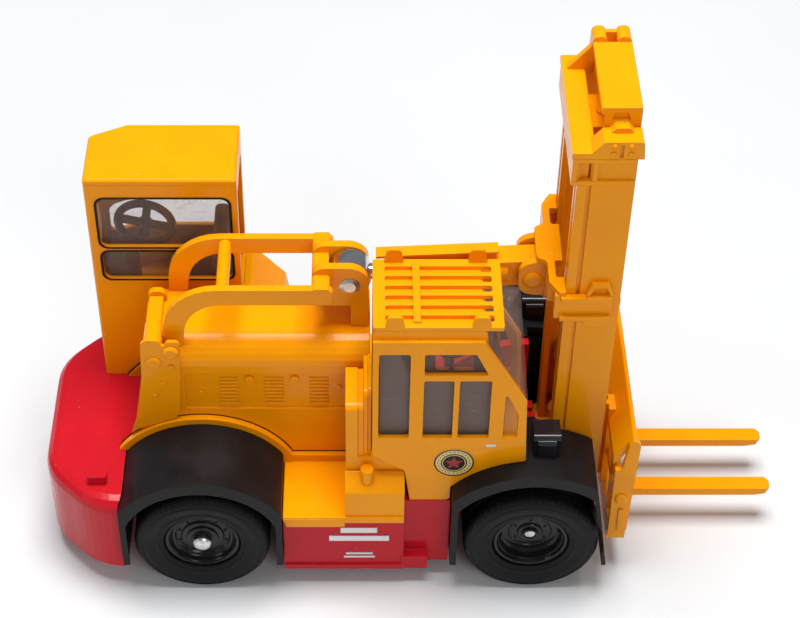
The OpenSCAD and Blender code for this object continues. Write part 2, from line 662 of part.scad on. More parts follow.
module rear_cab_seat() color(interior_grey) {
  seat_y = [12, 22.8];
  across(seat_y) polygon(rounded([[-47, 40.05], [-47, 46.5, 1.2], [-39.3, 46.1, 0.8], [-38.4, 57.5, 1.2],
    [-35.6, 57.5, 1.2], [-35.4, 40.05]]));
  // dash with the column's foot
  across([12, 20]) polygon(rounded([[-58.6, 40.05], [-58.6, 52.5, 1], [-55.4, 52.5, 1], [-53.6, 47, 0.6],
    [-53.6, 40.05]]));
}

module rear_steering_wheel() color(satin_black)
  translate([-51.6, 17.8, 57]) rotate([0, 14, 0]) steering_wheel(5.3, 5.2);

// Sloped cover in front of the rear cab, over the left rear fender.
module cab_fairing() color(yellow) {
  slope_y = [13.2, 24.6];
  difference() {
    across(slope_y) polygon([
      [rear_cab_x[1] + 0.05, 28], [rear_cab_x[1] + 0.05, 44], [-31.6, 44.6], [-25.4, 37.5], [-22.6, 22],
      [-26, 22]]);
    across(slope_y + [1, -1]) polygon([[rear_cab_x[1] - 1, 27], [rear_cab_x[1] - 1, 42.4], [-31.6, 42.8],
      [-26.5, 36.8], [-23.8, 21]]);
    arch(rear_axle_x, rear_fender_r + 0.1, 40, [0, 40], 0);
    block([-40, -20], [0, 40], [0, deck_plate_z + 0.05]);
  }
}

// ---- wheels ----

// Turns a profile of [radius, distance in from the outer face] into both wheels of an axle.
module wheel_pair(x) both_sides()
  translate([x, half_w, axle_z]) rotate([90, 0, 0]) rotate_extrude($fn = 96) children();

module tyre_profile() polygon(rounded([
  [hub_r, 0.9], [8.4, 0.5, 0.4], [10.6, 0, 2], [wheel_r, 1.2, 1.5], [wheel_r, tyre_w - 1.2, 1.5],
  [10.6, tyre_w, 2], [8.4, tyre_w - 0.5, 0.4], [hub_r, tyre_w - 0.9]], 4));

module front_tyres() color(satin_black) wheel_pair(front_axle_x) tyre_profile();

module rear_tyres() color(satin_black) wheel_pair(rear_axle_x) tyre_profile();

module front_hubs() color("black") wheel_pair(front_axle_x) polygon([
  [0, 3.2], [0, 2.2], [1.2, 2.2], [1.5, 2.6], [2.4, 2.6], [2.7, 3], [5.6, 3.2], [6.2, 1.6], [6.5, 0.7],
  [7.2, 0.7], [hub_r, 1.1], [hub_r, tyre_w - 1], [6.4, tyre_w - 1], [6.2, tyre_w - 3], [2.6, tyre_w - 3],
  [2.4, tyre_w - 0.6], [axle_r, tyre_w - 0.6], [axle_r, 3.2]]);

module rear_hubs() color("black") wheel_pair(rear_axle_x) polygon([
  [axle_r, 1], [2, 1], [2.2, 1.3], [3, 1.3], [3.2, 1.8], [4, 1.8], [4.3, 2.3], [5.2, 2.3], [5.4, 2], [5.9, 2],
  [6.2, 1.5], [6.5, 0.7], [7.2, 0.7], [hub_r, 1.1], [hub_r, tyre_w - 1], [6.4, tyre_w - 1], [6.2, tyre_w - 3],
  [2.6, tyre_w - 3], [2.4, tyre_w - 0.6], [axle_r, tyre_w - 0.6]]);

module front_axle() color(steel) bar_y(axle_r, [-(half_w - 3.2), half_w - 3.2], front_axle_x, axle_z);

module rear_axle() color(steel) {
  bar_y(axle_r, [-(half_w - 1), half_w - 1], rear_axle_x, axle_z);
  both_sides() translate([rear_axle_x, half_w - 1, axle_z]) rotate([-90, 0, 0]) rotate_extrude()
    polygon([[0, 0], [1.75, 0], [1.75, 0.25], [1.45, 0.6], [0.9, 0.82], [0, 0.9]]);
}

// ---- mast ----

mast_z = [6.2, 99];
flange_t = 1.2;
web_t = 1.2;
lip_gap_x = [mast_x[0] + flange_t, mast_x[1] - flange_t];

module mast_channel() {
  difference() {
    block(mast_x, [mast_in_y, mast_half_w], mast_z);
    block(lip_gap_x, [mast_in_y - 1, mast_half_w - web_t], [0, 110]);
    // groove along the back flange
    block([mast_x[0] + 1.7, mast_x[0] + 2.4], [mast_half_w - 0.5, mast_half_w + 1], [0, 110]);
    block([mast_x[0] - 1, mast_x[0] + 0.5], [10, 11.2], [0, 110]);
    bar_y(pivot_r + 0.005, [0, 14], pivot_x, pivot_z);
  }
}

module upright_left() color(yellow) mast_channel();

module upright_right() color(yellow) mirror([0, 1, 0]) mast_channel();

module mast_foot() color(yellow) {
  foot_back_x = pivot_x - 1.9;
  both_sides() difference() {
    union() {
      across([7.9, mast_in_y - 0.02]) polygon(rounded([
        [foot_back_x, 6.4, 1.5], [29, 6.4], [29, 12], [25.7, 12], [foot_back_x, 10.6, 1.6]]));
      across([7.9, mast_half_w]) polygon(rounded([
        [foot_back_x, 6.4, 1.5], [mast_x[0] - 0.02, 6.4], [mast_x[0] - 0.02, 12], [foot_back_x, 10.6, 1.6]]));
    }
    bar_y(pivot_r + 0.005, [0, 14], pivot_x, pivot_z);
  }
  // plate that ties both sides together under the lift cylinder
  block([28.4, 33.4], [-(mast_in_y - 0.02), mast_in_y - 0.02], [6.3, cylinder_foot_z - 0.02]);
}

module mast_pivot_pin() color(steel) bar_y(pivot_r, [-mast_half_w, mast_half_w], pivot_x, pivot_z);

module mast_strap() color(yellow) {
  back_x = [23, 24.2];
  tongue_half = 4.4;
  plate_z = 63.2;
  mast_back_x = mast_x[0] - 0.02;
  band_x = [23.9, 34.2];
  band_z = [62, 67.4];
  band_half = 14;
  flange_z = [67.1, 68.3];
  // bands round the outside of both uprights, with their edge flanges
  both_sides() difference() {
    union() {
      block(band_x, [mast_half_w + 0.02, mast_half_w + 0.7], band_z);
      for (z = [band_z[0], band_z[1] - 0.9])
        block([band_x[0] + 1, 33.9], [mast_half_w + 0.02, band_half], [z, z + 0.9]);
      across([mast_half_w + 0.02, band_half - 0.5]) polygon([
        [29.2, band_z[1] - 0.1], [30.2, 70.4], [33.3, 70.4], [34.4, band_z[1] - 0.1]]);
      across([mast_half_w + 0.02, band_half - 0.9]) polygon([
        [28.8, band_z[0] + 0.1], [29.8, 59.6], [33.3, 59.6], [34.2, band_z[0] + 0.1]]);
    }
    across([mast_half_w + 0.2, band_half + 1]) polygon([
      [30, band_z[1] + 0.2], [30.7, 69.7], [32.8, 69.7], [33.6, band_z[1] + 0.2]]);
  }
  // bracket behind the mast: a back plate, webs forward to the uprights and a flange on top
  difference() {
    union() {
      along(back_x) polygon(rounded([
        [-10.6, plate_z, 0.8], [-10.6, flange_z[1]], [10.6, flange_z[1]], [10.6, plate_z, 0.8],
        [tongue_half, plate_z, 0.8], [tongue_half, 58, 1], [-tongue_half, 58, 1],
        [-tongue_half, plate_z, 0.8]]));
      upright(flange_z) polygon(rounded([
        [mast_back_x, -13.2], [24.6, -13.2], [back_x[0], -10.4, 1], [back_x[0], -tongue_half - 0.6, 1.2],
        [21.2, -4.1, 1], [21.2, 4.1, 1], [back_x[0], tongue_half + 0.6, 1.2], [back_x[0], 10.4, 1],
        [24.6, 13.2], [mast_back_x, 13.2]]));
    }
    // windows in the flange, and the slot that the ram's eye swings in
    upright([60, 70]) {
      polygon(round_rect([back_x[1] + 0.1, mast_back_x + 1], [4.9, 9.2], 0.4));
      polygon(round_rect([back_x[1] + 0.1, mast_back_x + 1], [-9.2, -4.9], 0.4));
    }
    along([20, 30]) polygon(round_rect([-2.68, 2.68], [58.6, 66.7], 0.5));
    bar_y(pin_r + 0.005, [-9, 9], strap_pin_x, strap_pin_z);
  }
  both_sides() {
    block([back_x[1] - 0.1, mast_back_x], [10.2, 12.3], [plate_z, flange_z[0] + 0.1]);
    block([band_x[0], mast_back_x], [12.1, mast_half_w + 0.5], band_z);
  }
  // clevis arms for the ram
  both_sides() difference() {
    across([2.7, 4.1]) polygon(rounded([[back_x[0] + 0.2, 58.8], [18.2, 59.3, 2.8], [18.2, 66.2, 2.8],
      [back_x[0] + 0.2, 67.4]], 8));
    bar_y(pin_r + 0.005, [0, 9], strap_pin_x, strap_pin_z);
  }
}

module strap_pin() color(yellow) headed_pin(strap_pin_x, strap_pin_z, pin_r, 4.1, 1.9, 0.5);

module mast_head() color(yellow) {
  end_y = 13.1;
  ledge_z = 100.2;
  cover_x = [29.2, 35.9];
  collar_x = [24.6, 35.3];
  collar_z = [93.4, 99.1];
  difference() {
    union() {
      // collar round the tops of both uprights
      both_sides() {
        block(collar_x, [mast_half_w + 0.02, end_y - 0.1], collar_z);
        for (z = [collar_z[0], collar_z[1] - 0.9])
          block(collar_x, [mast_half_w + 0.1, end_y + 0.4], [z, z + 0.8]);
        for (x = [collar_x[0], 28.1]) block([x, x + 0.9], [mast_half_w + 0.1, end_y + 0.3], collar_z);
        block([24.6, 25.75], [8.4, mast_half_w + 0.05], collar_z);
      }
      block([24.6, 25.75], [-8.5, 8.5], collar_z);
      // top frame
      block([24.4, 28.3], [-end_y, end_y], [mast_z[1] + 0.02, ledge_z]);
      both_sides() {
        across([9.4, end_y + 0.3]) polygon(rounded([
          [24.4, mast_z[1] + 0.02], [24.4, ledge_z, 0.3], [27.6, ledge_z], [29.6, 102.6, 0.5],
          [36.1, 102.6, 0.5], [36.4, mast_z[1] + 0.02]]));
        // notched step outside the cover
        across([9, 11]) polygon(rounded([[30.6, 102.4], [31.6, 103.6, 0.5], [33.8, 103.6, 0.5], [34.8, 102.4]]));
      }
      // cover: a plate on two end walls
      upright([mast_top_z - 1.4, mast_top_z]) polygon(round_rect(cover_x, [-9, 9], 0.3));
      block([cover_x[1] - 1, cover_x[1]], [-9, 9], [mast_z[1] + 0.02, mast_top_z - 0.5]);
      both_sides() block([cover_x[0] + 0.6, cover_x[1]], [7.9, 9.02], [mast_z[1] + 0.02, mast_top_z - 0.5]);
      // horns at the left end
      for (x = [29, 33.2])
        across([9, 12.4]) polygon(rounded([
          [x, 102], [x + 0.2, mast_top_z + 1, 1.1], [x + 2.6, mast_top_z + 1, 1.1], [x + 2.8, 102]]));
      block([30, 35], [11.4, 12.3], [102, mast_top_z + 0.3]);
      // slanted brace from the back bar to the cover, on the left
      across([9.4, 10.6]) polygon([[25, ledge_z - 0.2], [29.4, 105.4], [30.2, 105.4], [30.2, ledge_z - 0.2]]);
    }
    // trapezoid recess in each end wall of the cover
    across([-10, -8.5]) polygon([[31, 103.9], [34, 103.9], [33.6, 105.4], [31.4, 105.4]]);
    // grooves between the rivets
    both_sides() block([32.2, 32.8], [end_y - 0.1, end_y + 1], [99.3, 102]);
    // window in the collar
    both_sides() block([26, 27.8], [mast_half_w - 1, end_y + 1], [94.4, 98]);
  }
}

module head_rivets() color(yellow) both_sides()
  for (x = [31.2, 34], z = [100.2, 101.8])
    translate([x, 13.4, z]) rotate([-90, 0, 0]) rotate_extrude($fn = 24)
      polygon([[0, 0], [0.5, 0], [0.42, 0.2], [0.22, 0.33], [0, 0.36]]);

module lift_cylinder() color(yellow) {
  ram_x = 30.8;
  barrel_top = 88;
  translate([ram_x, 0, cylinder_foot_z]) cylinder(r = 2.1, h = barrel_top - cylinder_foot_z);
  translate([ram_x, 0, barrel_top - 0.1]) cylinder(r = 2.5, h = 2.3);
  translate([ram_x, 0, barrel_top]) cylinder(r = 1.3, h = mast_z[1] - barrel_top);
  // bracket that holds the rod to the mast head
  block([25.77, ram_x + 1.5], [-4.4, 4.4], [95.4, 98.6]);
}

// ---- tilt ram ----

// Places children, drawn along X from the rear pin, on the ram's own line.
module on_ram() translate([gantry_pin_x, 0, gantry_pin_z]) rotate([0, -ram_tilt, 0]) children();

module tilt_rod() color(steel) on_ram() difference() {
  union() {
    bar_y(3.9, [-1.9, 1.9], 0, 0);
    rotate([0, 90, 0]) cylinder(r = ram_rod_r, h = 20);
  }
  bar_y(pin_r + pin_gap, [-5, 5], 0, 0);
}

module tilt_barrel() color(yellow) on_ram() difference() {
  eye_r = 2.9;
  mouth_x = 9.3;
  union() {
    translate([mouth_x + 0.6, 0, 0]) rotate([0, 90, 0]) cylinder(r = barrel_r, h = ram_len - mouth_x - 5);
    translate([mouth_x, 0, 0]) rotate([0, 90, 0]) cylinder(r = barrel_r + 0.3, h = 2);
    across([-2.3, 2.3]) polygon(rounded([[ram_len - 8, -eye_r], [ram_len + 1, -eye_r, 0.2],
      [ram_len + 1, eye_r, 0.2], [ram_len - 8, eye_r]]));
    bar_y(eye_r, [-2.3, 2.3], ram_len, 0);
    // flat bar along the top, on a web
    block([5, ram_len - 6], [-1.3, 1.3], [4.2, 4.7]);
    block([mouth_x + 1, ram_len - 8], [-0.5, 0.5], [2, 4.3]);
  }
  translate([mouth_x - 1, 0, 0]) rotate([0, 90, 0])
    cylinder(r = ram_rod_r + pin_gap, h = ram_len - mouth_x - 5);
  bar_y(pin_r + 0.35, [-5, 5], ram_len, 0);
}

// ---- carriage and forks ----

plate_y = [19, 20.2];
beam_face_x = 41.2;                      // front of the beam that the forks are fixed to

module side_plate() {
  across(plate_y) polygon(rounded([
    [37.6, 9.2, 0.4], [39.5, 9.2], [41.1, 11.1, 0.4], [41.6, 35.4, 0.5], [40.5, 37.1, 0.5], [39.5, 35.4],
    [38.7, 28.6, 0.5], [37.4, 28.6, 0.3]]));
  translate([39.3, plate_y[1], 20.5]) rotate([-90, 0, 0]) rotate_extrude()
    polygon([[0, 0], [1.2, 0], [1.2, 0.4], [0.8, 0.6], [0, 0.6]]);
  across([plate_y[1] - 0.1, plate_y[1] + 0.3])
    polygon(rounded([[39.2, 11, 0.3], [40.4, 12, 0.3], [40, 17.6, 0.3], [39, 17.6, 0.3]]));
}

module side_plate_left() color(yellow) side_plate();

module side_plate_right() color(yellow) mirror([0, 1, 0]) side_plate();

module carriage_frame() color(yellow) {
  face_y = plate_y[0] - 0.02;
  // lower beam, middle bar and sloping upper beam
  across([-face_y, face_y]) polygon(rounded([
    [37.6, 7.2], [37.6, 12.4], [beam_face_x, 12.4, 0.5], [beam_face_x, 7.2]]));
  across([-face_y, face_y]) polygon([[37.6, 20.4], [37.6, 22.4], [39.6, 22.4], [39.6, 20.4]]);
  across([-face_y, face_y]) polygon(rounded([[37, 29.4], [37, 31, 0.4], [40.4, 36.9, 0.5], [41, 36.4, 0.2],
    [38.4, 30.6], [38.4, 29.4]]));
  // pockets' end webs
  both_sides() for (y = [6, 14.2]) block([37.6, 38.4], [y, y + 1.6], [12.3, 29.6]);
  // arms that reach back between the uprights to the rollers
  both_sides() {
    block([29.2, 37.8], [6.3, 7.5], [13.4, 33.4]);
    block([36.9, 38.2], [5, 9], [12.3, 33.4]);
    for (z = [15, 30]) bar_y(1.2, [7.4, 8.5], roller_x, z);
  }
}

module carriage_rollers() color(steel) both_sides()
  for (z = [15, 30]) {
    bar_y(roller_r, [8.9, 11], roller_x, z);
    bar_y(1.2, [8.52, 8.9], roller_x, z);
  }

module forks() color(yellow) both_sides() {
  root_x = beam_face_x + 0.02;
  taper = 3;
  difference() {
    upright([fork_top_z - fork_t, fork_top_z]) polygon(rounded([
      [root_x, fork_y - fork_w / 2], [fork_tip_x - 0.8, fork_y - fork_w / 2],
      [fork_tip_x, fork_y - fork_w / 2 + 0.9],
      [fork_tip_x, fork_y + fork_w / 2 - 0.9], [fork_tip_x - 0.8, fork_y + fork_w / 2],
      [root_x, fork_y + fork_w / 2]]));
    across([0, 20]) polygon([
      [fork_tip_x - taper, fork_top_z - fork_t - 1], [fork_tip_x - taper, fork_top_z - fork_t],
      [fork_tip_x + 1, fork_top_z - fork_t + 0.9], [fork_tip_x + 1, fork_top_z - fork_t - 1]]);
  }
}

lower_body();
base_plate();
base_rivets();
side_casting_left();
side_casting_right();
hood();
louvre_ribs();
rear_ear_plates();
ear_bolts();
gantry();
gantry_pin();
rear_fender_left();
rear_fender_right();
front_fender_left();
front_fender_right();
headlamp_left();
headlamp_right();
headlamp_lenses();
rear_lamp();
fuel_tank();
fuel_cap();
air_cleaner();
front_cab_shell();
front_cab_glazing();
windscreen();
roof_guard();
front_cab_seat();
front_steering_wheel();
door_badge();
door_handle();
side_markings();
cab_fairing();
rear_cab_shell();
rear_cab_roof();
rear_cab_glazing();
window_seals();
rear_cab_seat();
rear_steering_wheel();
front_axle();
front_hubs();
front_tyres();
rear_axle();
rear_hubs();
rear_tyres();
upright_left();
upright_right();
mast_foot();
mast_pivot_pin();
mast_strap();
strap_pin();
mast_head();
head_rivets();
lift_cylinder();
tilt_rod();
tilt_barrel();
carriage_frame();
side_plate_left();
side_plate_right();
carriage_rollers();
forks();
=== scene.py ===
"""Looks of the toy forklift: paint, plastic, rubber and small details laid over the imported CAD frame."""
import json
import math

import bmesh
import bpy
from mathutils import Matrix, Vector


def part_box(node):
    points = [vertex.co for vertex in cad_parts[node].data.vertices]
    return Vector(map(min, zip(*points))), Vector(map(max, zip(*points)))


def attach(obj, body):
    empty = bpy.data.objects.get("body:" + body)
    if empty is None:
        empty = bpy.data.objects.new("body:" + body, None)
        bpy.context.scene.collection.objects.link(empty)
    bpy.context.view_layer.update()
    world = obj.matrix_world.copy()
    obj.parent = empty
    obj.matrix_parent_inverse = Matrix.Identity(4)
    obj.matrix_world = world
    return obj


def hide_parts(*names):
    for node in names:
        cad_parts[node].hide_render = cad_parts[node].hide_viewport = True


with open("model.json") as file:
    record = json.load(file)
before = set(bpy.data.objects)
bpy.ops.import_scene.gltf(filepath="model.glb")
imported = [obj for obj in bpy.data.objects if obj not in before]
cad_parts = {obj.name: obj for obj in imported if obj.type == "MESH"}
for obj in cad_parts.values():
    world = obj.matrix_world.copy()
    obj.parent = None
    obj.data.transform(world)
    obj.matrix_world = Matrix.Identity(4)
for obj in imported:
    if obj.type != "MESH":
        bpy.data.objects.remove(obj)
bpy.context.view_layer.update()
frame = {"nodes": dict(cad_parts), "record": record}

MM = 0.001
CAD = frame["nodes"]


# ---------------------------------------------------------------- frame helpers

def mid(node):
    """Middle of a CAD node's box."""
    lo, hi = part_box(node)
    return (lo + hi) / 2


def axle_of(node):
    """X and Z of the axle that a pair of wheels turns on."""
    middle = mid(node)
    return middle.x, middle.z


def width_of_one(node):
    """Width of one wheel, from the gap that the pair of them leaves in the middle."""
    ys = [abs(v.co.y) for v in CAD[node].data.vertices]
    return max(ys) - min(ys)


def outer_faces(node):
    """The side, 1 or -1, and the Y of each outer face of a pair of wheels."""
    lo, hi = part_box(node)
    return (1, hi.y), (-1, lo.y)


# ---------------------------------------------------------------- material trees

class MaterialTree:
    """Short calls that build a material's node tree. A value given to one is a socket or a constant."""

    def __init__(self, name):
        self.material = bpy.data.materials.new(name)
        self.material.use_nodes = True
        self.nodes = self.material.node_tree.nodes
        self.links = self.material.node_tree.links
        self.shader = self.nodes["Principled BSDF"]
        self.surface = self.nodes["Material Output"].inputs["Surface"]
        self.coords = self.add("ShaderNodeTexCoord").outputs["Object"]

    def add(self, kind, **inputs):
        """A new node with those inputs set, with an underscore for each space in an input's name."""
        node = self.nodes.new(kind)
        for key, value in inputs.items():
            node.inputs[key.replace("_", " ")].default_value = value
        return node

    def link(self, out, socket):
        self.links.new(out, socket)

    def feed(self, socket, value):
        """Links a socket to an input, or sets the input to a number or a colour."""
        if hasattr(value, "links"):
            self.link(value, socket)
        elif socket.type == "RGBA":
            socket.default_value = (*value, 1)
        else:
            socket.default_value = value

    def noise(self, cells, detail, roughness=0.55, stretch=None):
        """A noise value from 0 to 1 at that many cells per metre, stretched along the axes if asked."""
        node = self.add("ShaderNodeTexNoise", Scale=cells, Detail=detail, Roughness=roughness)
        source = self.coords
        if stretch:
            mapping = self.add("ShaderNodeMapping", Scale=stretch)
            self.link(source, mapping.inputs["Vector"])
            source = mapping.outputs["Vector"]
        self.link(source, node.inputs["Vector"])
        return node.outputs["Fac"]

    def speckle(self, cells):
        """Distance to the nearest of the scattered points, at that many cells per metre."""
        node = self.add("ShaderNodeTexVoronoi", Scale=cells)
        self.link(self.coords, node.inputs["Vector"])
        return node.outputs["Distance"]

    def ramp(self, value, low, high, from_value=0.0, to_value=1.0):
        """Maps low..high to from_value..to_value, held at the ends."""
        node = self.add("ShaderNodeMapRange", From_Min=low, From_Max=high, To_Min=from_value, To_Max=to_value)
        self.link(value, node.inputs["Value"])
        return node.outputs["Result"]

    def times(self, a, b):
        """The product of two values."""
        node = self.add("ShaderNodeMath")
        node.operation = "MULTIPLY"
        self.feed(node.inputs[0], a)
        self.feed(node.inputs[1], b)
        return node.outputs[0]

    def mix(self, factor, a, b):
        """Colour a where the factor is 0, and colour b where it is 1."""
        node = self.add("ShaderNodeMix")
        node.data_type = "RGBA"
        self.link(factor, node.inputs["Factor"])
        for name, colour in (("A", a), ("B", b)):
            self.feed(next(s for s in node.inputs if s.name == name and s.type == "RGBA"), colour)
        return next(s for s in node.outputs if s.type == "RGBA")

    def edges(self, radius):
        """Two outputs: 1 on sharp edges and 0 on flat faces, and a normal that rounds the edges off."""
        bevel = self.add("ShaderNodeBevel", Radius=radius)
        bevel.samples = 4
        flat_normal = self.add("ShaderNodeNewGeometry").outputs["Normal"]
        lean = self.add("ShaderNodeVectorMath")
        lean.operation = "DOT_PRODUCT"
        self.link(bevel.outputs["Normal"], lean.inputs[0])
        self.link(flat_normal, lean.inputs[1])
        return self.ramp(lean.outputs["Value"], 0.995, 0.87), bevel.outputs["Normal"]

    def bump(self, height, strength, distance, normal=None):
        """A normal that follows a height value, laid over another normal if one is given."""
        node = self.add("ShaderNodeBump", Strength=strength, Distance=distance)
        self.link(height, node.inputs["Height"])
        if normal:
            self.link(normal, node.inputs["Normal"])
        return node.outputs["Normal"]

    def set(self, **values):
        """Feeds the shader's inputs, with an underscore for each space in an input's name."""
        for key, value in values.items():
            self.feed(self.shader.inputs[key.replace("_", " ")], value)


# ---------------------------------------------------------------- kinds of material

DUST = (0.9, 0.85, 0.75)
# Radii that the edges of painted and moulded parts are shaded with
PAINT_EDGE = 0.3 * MM
MOULDED_EDGE = 0.25 * MM


def paint(name, base, deep, thin_paint_and_highlight, roughness, coat, dust):
    """Glossy enamel on a die-cast body: uneven thickness, edges lightened partly as thin paint and partly as
    a painted highlight, fine orange peel and dust.
    """
    tree = MaterialTree(name)
    edge, round_normal = tree.edges(PAINT_EDGE)
    thickness = tree.noise(cells=95, detail=5)
    colour = tree.mix(tree.ramp(thickness, 0.3, 0.75), base, deep)
    # Sharp edges are lightened, partly as thin paint and partly as a painted highlight.
    edge_paint_and_highlight_mask = tree.times(edge, tree.ramp(tree.noise(cells=450, detail=3), 0.35, 0.6))
    colour = tree.mix(tree.times(edge_paint_and_highlight_mask, 0.55), colour, thin_paint_and_highlight)
    specks = tree.ramp(tree.speckle(cells=420), 0.09, 0.04)
    dusty_spots = tree.ramp(tree.noise(cells=900, detail=3), 0.5, 0.65)
    colour = tree.mix(tree.times(tree.times(specks, dusty_spots), dust), colour, DUST)
    gloss = tree.noise(cells=240, detail=4)
    peel = tree.noise(cells=1400, detail=2)
    tree.set(Base_Color=colour, Coat_Weight=coat, Coat_Roughness=0.06, Specular_IOR_Level=0.13,
             Roughness=tree.ramp(gloss, 0.3, 0.75, roughness * 0.75, roughness * 1.5),
             Normal=tree.bump(peel, 0.12, 0.05 * MM, round_normal))
    return tree.material


def plastic(name, base, lighter, roughness, grain, edge_tone=None, scratch=0.0, coat=0.0):
    """Moulded plastic: fine grain, cloudy gloss, pale rubbed edges and optional light scuffs."""
    tree = MaterialTree(name)
    pale = edge_tone or lighter
    edge, round_normal = tree.edges(MOULDED_EDGE)
    cloud = tree.noise(cells=140, detail=5)
    colour = tree.mix(tree.ramp(cloud, 0.3, 0.75), base, lighter)
    rubbed = tree.times(edge, tree.ramp(tree.noise(cells=520, detail=3), 0.4, 0.62))
    colour = tree.mix(tree.times(rubbed, 0.5), colour, pale)
    if scratch:
        lines = tree.noise(cells=260, detail=3, roughness=0.5, stretch=(1, 1, 14))
        colour = tree.mix(tree.times(tree.ramp(lines, 0.66, 0.72), scratch), colour, pale)
    tree.set(Base_Color=colour, Coat_Weight=coat, Coat_Roughness=0.05, Specular_IOR_Level=0.16,
             Roughness=tree.ramp(cloud, 0.3, 0.7, roughness * 0.8, roughness * 1.3),
             Normal=tree.bump(tree.noise(cells=3200, detail=3), grain, 0.04 * MM, round_normal))
    return tree.material


def metal(name, base, dark, roughness, stretch):
    """Turned or polished metal with fine lines along one direction and faint tarnish."""
    tree = MaterialTree(name)
    lines = tree.noise(cells=900, detail=4, roughness=0.6, stretch=stretch)
    tarnish = tree.ramp(tree.noise(cells=300, detail=4), 0.4, 0.75)
    tree.set(Base_Color=tree.mix(tarnish, base, dark), Metallic=1.0,
             Roughness=tree.ramp(lines, 0.3, 0.7, roughness * 0.7, roughness * 1.5),
             Normal=tree.bump(lines, 0.15, 0.03 * MM))
    return tree.material


def rubber(name, base, dusty):
    """Matte tyre rubber: moulding grain, dusty edges and scattered lint."""
    tree = MaterialTree(name)
    edge, round_normal = tree.edges(MOULDED_EDGE)
    cloud = tree.noise(cells=210, detail=5)
    colour = tree.mix(tree.ramp(cloud, 0.42, 0.8, 0, 0.7), base, dusty)
    lint = tree.ramp(tree.noise(cells=1500, detail=3), 0.68, 0.74)
    colour = tree.mix(tree.times(lint, 0.35), colour, dusty)
    colour = tree.mix(tree.times(edge, 0.35), colour, dusty)
    tree.set(Base_Color=colour, Roughness=tree.ramp(cloud, 0.3, 0.7, 0.5, 0.72), Specular_IOR_Level=0.2,
             Normal=tree.bump(tree.noise(cells=2600, detail=4), 0.3, 0.06 * MM, round_normal))
    return tree.material


def clear_plastic(name, tint, see_through):
    """Thin clear moulding: mostly see-through, with gloss, faint haze and hairline scratches."""
    tree = MaterialTree(name)
    haze = tree.noise(cells=160, detail=4)
    hazy_tint = tuple(channel * 1.2 for channel in tint)
    tree.set(Base_Color=tree.mix(tree.ramp(haze, 0.3, 0.7), tint, hazy_tint),
             Roughness=tree.ramp(haze, 0.3, 0.7, 0.03, 0.1), Specular_IOR_Level=0.6, IOR=1.49,
             Normal=tree.bump(haze, 0.12, 0.1 * MM))
    lines = tree.noise(cells=420, detail=3, roughness=0.5, stretch=(1, 1, 9))
    hairlines = tree.ramp(lines, 0.66, 0.7)
    blend = tree.add("ShaderNodeMixShader")
    tree.link(tree.ramp(hairlines, 0, 1, see_through, see_through - 0.25), blend.inputs["Fac"])
    tree.link(tree.shader.outputs["BSDF"], blend.inputs[1])
    tree.link(tree.add("ShaderNodeBsdfTransparent").outputs["BSDF"], blend.inputs[2])
    tree.link(blend.outputs["Shader"], tree.surface)
    return tree.material


# ---------------------------------------------------------------- the toy's materials

# Each enamel's lighter edge tone is partly thin paint and partly a painted highlight.
YELLOW = paint("yellow_enamel", base=(0.95, 0.35, 0.001), deep=(0.92, 0.315, 0.001), thin_paint_and_highlight=(1.0, 0.5, 0.02),
               roughness=0.2, coat=0.07, dust=0.36)
RED = paint("crimson_enamel", base=(0.56, 0.01, 0.02), deep=(0.5, 0.007, 0.016), thin_paint_and_highlight=(0.78, 0.06, 0.07),
            roughness=0.2, coat=0.1, dust=0.12)
FENDER = plastic("fender_satin_black", base=(0.007, 0.006, 0.007), lighter=(0.012, 0.011, 0.012),
                 edge_tone=(0.04, 0.04, 0.043), roughness=0.36, grain=0.15, scratch=0.08)
LAMP = plastic("lamp_gloss_black", base=(0.008, 0.008, 0.01), lighter=(0.014, 0.014, 0.017),
               edge_tone=(0.05, 0.05, 0.055), roughness=0.2, grain=0.1, coat=0.4)
HUB = plastic("hub_gloss_black", base=(0.008, 0.008, 0.009), lighter=(0.015, 0.015, 0.017),
              edge_tone=(0.06, 0.06, 0.065), roughness=0.17, grain=0.08, coat=0.22)
BASE = plastic("base_satin_black", base=(0.015, 0.015, 0.017), lighter=(0.025, 0.025, 0.028),
               edge_tone=(0.07, 0.07, 0.08), roughness=0.45, grain=0.3, scratch=0.2)
TYRE = rubber("tyre_rubber", base=(0.005, 0.005, 0.006), dusty=(0.016, 0.016, 0.017))
STEEL = metal("turned_steel", base=(0.72, 0.71, 0.69), dark=(0.42, 0.41, 0.4), roughness=0.3,
              stretch=(1, 6, 1))
CHROME = metal("polished_rod", base=(0.86, 0.86, 0.88), dark=(0.6, 0.6, 0.62), roughness=0.09,
               stretch=(8, 1, 1))
GLAZING = clear_plastic("clear_glazing", tint=(0.34, 0.25, 0.21), see_through=0.84)
LENS = clear_plastic("lamp_lens", tint=(0.3, 0.32, 0.34), see_through=0.45)
INTERIOR = plastic("interior_grey_brown", base=(0.11, 0.075, 0.062), lighter=(0.15, 0.105, 0.088),
                   edge_tone=(0.2, 0.15, 0.13), roughness=0.5, grain=0.5, scratch=0.1)
STEERING = plastic("steering_black", base=(0.016, 0.016, 0.019), lighter=(0.03, 0.03, 0.034),
                   edge_tone=(0.08, 0.08, 0.085), roughness=0.38, grain=0.3)
# Black print on the badge; the same black is also the painted shadow in the hood's seams.
PRINT_AND_SHADE_BLACK = plastic("print_and_painted_shade_black", base=(0.01, 0.008, 0.007), lighter=(0.02, 0.014, 0.012),
               roughness=0.35, grain=0.1)
PRINT = plastic("printed_white", base=(0.78, 0.74, 0.74), lighter=(0.88, 0.86, 0.86),
                roughness=0.4, grain=0.1)
CREAM = plastic("badge_cream", base=(0.72, 0.52, 0.2), lighter=(0.8, 0.62, 0.3), roughness=0.35, grain=0.1)
BADGE_RED = plastic("badge_red", base=(0.36, 0.03, 0.03), lighter=(0.45, 0.05, 0.05), roughness=0.35,
                    grain=0.1)

